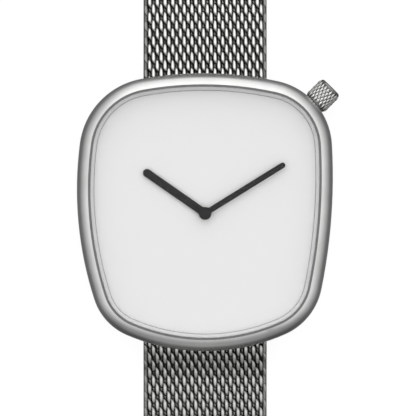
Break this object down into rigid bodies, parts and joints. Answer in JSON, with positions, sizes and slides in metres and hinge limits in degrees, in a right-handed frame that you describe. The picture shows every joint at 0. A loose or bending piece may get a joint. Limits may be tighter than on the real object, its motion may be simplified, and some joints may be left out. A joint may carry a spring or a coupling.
{
  "type": "wristwatch",
  "caption": "Slim wristwatch with a rounded pillow-shaped steel case, bare white dial, black stick hands, a crown between 1 and 2 o'clock and a woven steel mesh band, laid open on its back.",
  "frame": {"origin": "centre of the case back's outer face, on the axis of the hands", "axes": "+Z out of the dial, +Y towards 12 o'clock along the open band, +X towards 3 o'clock"},
  "size_m": [0.0382, 0.221, 0.0069],
  "materials": {
    "polished_steel": "satin polished stainless steel",
    "mesh_steel": "woven stainless wire, rolled flat",
    "brushed_steel": "brushed stainless steel",
    "mineral_glass": "clear polished mineral glass",
    "gasket_rubber": "moulded nitrile rubber",
    "dial_paint": "matt white lacquer on brass",
    "ring_plastic": "matt white moulded ring",
    "hand_paint": "matt black lacquer on brass",
    "holder_plastic": "moulded white acetal",
    "plate_brass": "stamped brass",
    "battery_steel": "nickel-plated can",
    "board_green": "glass-fibre board with solder mask",
    "coil_copper": "enamelled copper winding",
    "stator_iron": "soft iron sheet"
  },
  "bodies": {
    "case": {"case": "polished_steel", "crystal": "mineral_glass", "crystal_gasket": "gasket_rubber", "dial_ring": "ring_plastic", "dial": "dial_paint", "movement_holder": "holder_plastic", "case_back": "brushed_steel", "case_back_gasket": "gasket_rubber", "crown_tube": "brushed_steel", "spring_bar_upper": "brushed_steel", "spring_bar_lower": "brushed_steel", "main_plate": "plate_brass", "train_bridge": "plate_brass", "battery": "battery_steel", "battery_clamp": "battery_steel", "circuit_board": "board_green", "quartz_can": "battery_steel", "coil": "coil_copper", "stator": "stator_iron", "movement_screws": "brushed_steel"},
    "minute": {"center_wheel": "plate_brass", "cannon_pinion": "plate_brass", "minute_hand": "hand_paint"},
    "hour": {"hour_wheel": "plate_brass", "hour_hand": "hand_paint"},
    "motion_wheel": {"motion_wheel": "plate_brass"},
    "setting_wheel": {"setting_wheel": "brushed_steel"},
    "intermediate_wheel": {"intermediate_wheel": "plate_brass"},
    "rotor": {"rotor": "stator_iron"},
    "sliding_pinion": {"sliding_pinion": "brushed_steel"},
    "crown": {"crown": "polished_steel", "stem": "brushed_steel", "crown_gasket": "gasket_rubber"},
    "upper_end": {"upper_end_tube": "brushed_steel"},
    "lower_end": {"lower_end_tube": "brushed_steel"},
    "pin_upper_left": {"spring_pin_upper_left": "brushed_steel"},
    "pin_upper_right": {"spring_pin_upper_right": "brushed_steel"},
    "pin_lower_left": {"spring_pin_lower_left": "brushed_steel"},
    "pin_lower_right": {"spring_pin_lower_right": "brushed_steel"},
    "upper_1": {"upper_mesh_1": "mesh_steel"},
    "upper_2": {"upper_mesh_2": "mesh_steel"},
    "upper_3": {"upper_mesh_3": "mesh_steel"},
    "upper_4": {"upper_mesh_4": "mesh_steel"},
    "upper_5": {"upper_mesh_5": "mesh_steel", "catch_bar": "brushed_steel"},
    "lower_1": {"lower_mesh_1": "mesh_steel"},
    "lower_2": {"lower_mesh_2": "mesh_steel"},
    "lower_3": {"lower_mesh_3": "mesh_steel"},
    "lower_4": {"lower_mesh_4": "mesh_steel"},
    "lower_5": {"lower_mesh_5": "mesh_steel"},
    "lower_6": {"lower_mesh_6": "mesh_steel"},
    "tail": {"lower_tail_mesh": "mesh_steel", "tail_tip": "brushed_steel"},
    "clasp_base": {"clasp_base": "brushed_steel", "clasp_cover_pin": "brushed_steel", "clasp_lock_pin": "brushed_steel"},
    "clasp_cover": {"clasp_cover": "brushed_steel"},
    "clasp_lock": {"clasp_lock": "brushed_steel"}
  },
  "joints": [
    {"name": "minute_turn", "type": "hinge", "parent": "case", "child": "minute", "pos_m": [0, 0, 0.004], "axis": [0, 0, -1], "continuous": true},
    {"name": "hour_turn", "type": "hinge", "parent": "case", "child": "hour", "pos_m": [0, 0, 0.004], "axis": [0, 0, -1], "continuous": true},
    {"name": "motion_turn", "type": "hinge", "parent": "case", "child": "motion_wheel", "pos_m": [-0.00027, 0.00311, 0.0035], "axis": [0, 0, -1], "continuous": true},
    {"name": "setting_turn", "type": "hinge", "parent": "case", "child": "setting_wheel", "pos_m": [0.00264, 0.00507, 0.0035], "axis": [0, 0, -1], "continuous": true},
    {"name": "intermediate_turn", "type": "hinge", "parent": "case", "child": "intermediate_wheel", "pos_m": [-0.00296, 0.00079, 0.0022], "axis": [0, 0, -1], "continuous": true},
    {"name": "rotor_turn", "type": "hinge", "parent": "case", "child": "rotor", "pos_m": [-0.00556, 0.00009, 0.0022], "axis": [0, 0, -1], "continuous": true},
    {"name": "crown_turn", "type": "hinge", "parent": "case", "child": "sliding_pinion", "pos_m": [0, 0, 0.0026], "axis": [0.7071, 0.7071, 0], "continuous": true},
    {"name": "crown_pull", "type": "slide", "parent": "sliding_pinion", "child": "crown", "axis": [0.7071, 0.7071, 0], "range_m": [0, 0.001]},
    {"name": "pin_upper_left_slide", "type": "slide", "parent": "case", "child": "pin_upper_left", "axis": [1, 0, 0], "range_m": [0, 0.0008], "stiffness_N_per_m": 300},
    {"name": "pin_upper_right_slide", "type": "slide", "parent": "case", "child": "pin_upper_right", "axis": [-1, 0, 0], "range_m": [0, 0.0008], "stiffness_N_per_m": 300},
    {"name": "pin_lower_left_slide", "type": "slide", "parent": "case", "child": "pin_lower_left", "axis": [1, 0, 0], "range_m": [0, 0.0008], "stiffness_N_per_m": 300},
    {"name": "pin_lower_right_slide", "type": "slide", "parent": "case", "child": "pin_lower_right", "axis": [-1, 0, 0], "range_m": [0, 0.0008], "stiffness_N_per_m": 300},
    {"name": "upper_swing", "type": "hinge", "parent": "case", "child": "upper_end", "pos_m": [0, 0.0172, 0.00215], "axis": [-1, 0, 0], "range_deg": [-5, 50]},
    {"name": "upper_curl_1", "type": "hinge", "parent": "upper_end", "child": "upper_1", "pos_m": [0, 0.0198, 0.00215], "axis": [-1, 0, 0], "range_deg": [-10, 22]},
    {"name": "upper_curl_2", "type": "hinge", "parent": "upper_1", "child": "upper_2", "pos_m": [0, 0.03393, 0.0013], "axis": [-1, 0, 0], "range_deg": [-10, 22]},
    {"name": "upper_curl_3", "type": "hinge", "parent": "upper_2", "child": "upper_3", "pos_m": [0, 0.04809, 0.0013], "axis": [-1, 0, 0], "range_deg": [-10, 22]},
    {"name": "upper_curl_4", "type": "hinge", "parent": "upper_3", "child": "upper_4", "pos_m": [0, 0.06225, 0.0013], "axis": [-1, 0, 0], "range_deg": [-10, 22]},
    {"name": "upper_curl_5", "type": "hinge", "parent": "upper_4", "child": "upper_5", "pos_m": [0, 0.07641, 0.0013], "axis": [-1, 0, 0], "range_deg": [-10, 22]},
    {"name": "lower_swing", "type": "hinge", "parent": "case", "child": "lower_end", "pos_m": [0, -0.0167, 0.00215], "axis": [1, 0, 0], "range_deg": [-5, 50]},
    {"name": "lower_curl_1", "type": "hinge", "parent": "lower_end", "child": "lower_1", "pos_m": [0, -0.0193, 0.00215], "axis": [1, 0, 0], "range_deg": [-10, 12]},
    {"name": "lower_curl_2", "type": "hinge", "parent": "lower_1", "child": "lower_2", "pos_m": [0, -0.02394, 0.0013], "axis": [1, 0, 0], "range_deg": [-10, 12]},
    {"name": "lower_curl_3", "type": "hinge", "parent": "lower_2", "child": "lower_3", "pos_m": [0, -0.0381, 0.0013], "axis": [1, 0, 0], "range_deg": [-10, 12]},
    {"name": "lower_curl_4", "type": "hinge", "parent": "lower_3", "child": "lower_4", "pos_m": [0, -0.05226, 0.0013], "axis": [1, 0, 0], "range_deg": [-10, 12]},
    {"name": "lower_curl_5", "type": "hinge", "parent": "lower_4", "child": "lower_5", "pos_m": [0, -0.06642, 0.0013], "axis": [1, 0, 0], "range_deg": [-10, 12]},
    {"name": "lower_curl_6", "type": "hinge", "parent": "lower_5", "child": "lower_6", "pos_m": [0, -0.08058, 0.0013], "axis": [1, 0, 0], "range_deg": [-10, 12]},
    {"name": "lower_curl_7", "type": "hinge", "parent": "lower_6", "child": "tail", "pos_m": [0, -0.09474, 0.0013], "axis": [1, 0, 0], "range_deg": [-10, 12]},
    {"name": "clasp_slide", "type": "slide", "parent": "tail", "child": "clasp_base", "axis": [0, -1, 0], "range_m": [-0.005, 0.005]},
    {"name": "clasp_lock_hinge", "type": "hinge", "parent": "clasp_base", "child": "clasp_lock", "pos_m": [0, -0.10164, 0.00275], "axis": [-1, 0, 0], "range_deg": [0, 95]},
    {"name": "clasp_cover_hinge", "type": "hinge", "parent": "clasp_base", "child": "clasp_cover", "pos_m": [0, -0.11144, 0.00275], "axis": [-1, 0, 0], "range_deg": [0, 110]}
  ],
  "couplings": [
    {"joint": "hour_turn", "follows": "minute_turn", "ratio": 0.083333},
    {"joint": "motion_turn", "follows": "minute_turn", "ratio": -0.33333},
    {"joint": "setting_turn", "follows": "minute_turn", "ratio": 0.66667},
    {"joint": "intermediate_turn", "follows": "minute_turn", "ratio": -8},
    {"joint": "rotor_turn", "follows": "minute_turn", "ratio": 64},
    {"joint": "upper_curl_2", "follows": "upper_curl_1", "ratio": 1},
    {"joint": "upper_curl_3", "follows": "upper_curl_1", "ratio": 1},
    {"joint": "upper_curl_4", "follows": "upper_curl_1", "ratio": 1},
    {"joint": "upper_curl_5", "follows": "upper_curl_1", "ratio": 1},
    {"joint": "lower_curl_2", "follows": "lower_curl_1", "ratio": 1},
    {"joint": "lower_curl_3", "follows": "lower_curl_1", "ratio": 1},
    {"joint": "lower_curl_4", "follows": "lower_curl_1", "ratio": 1},
    {"joint": "lower_curl_5", "follows": "lower_curl_1", "ratio": 1},
    {"joint": "lower_curl_6", "follows": "lower_curl_1", "ratio": 1},
    {"joint": "lower_curl_7", "follows": "lower_curl_1", "ratio": 1}
  ]
}
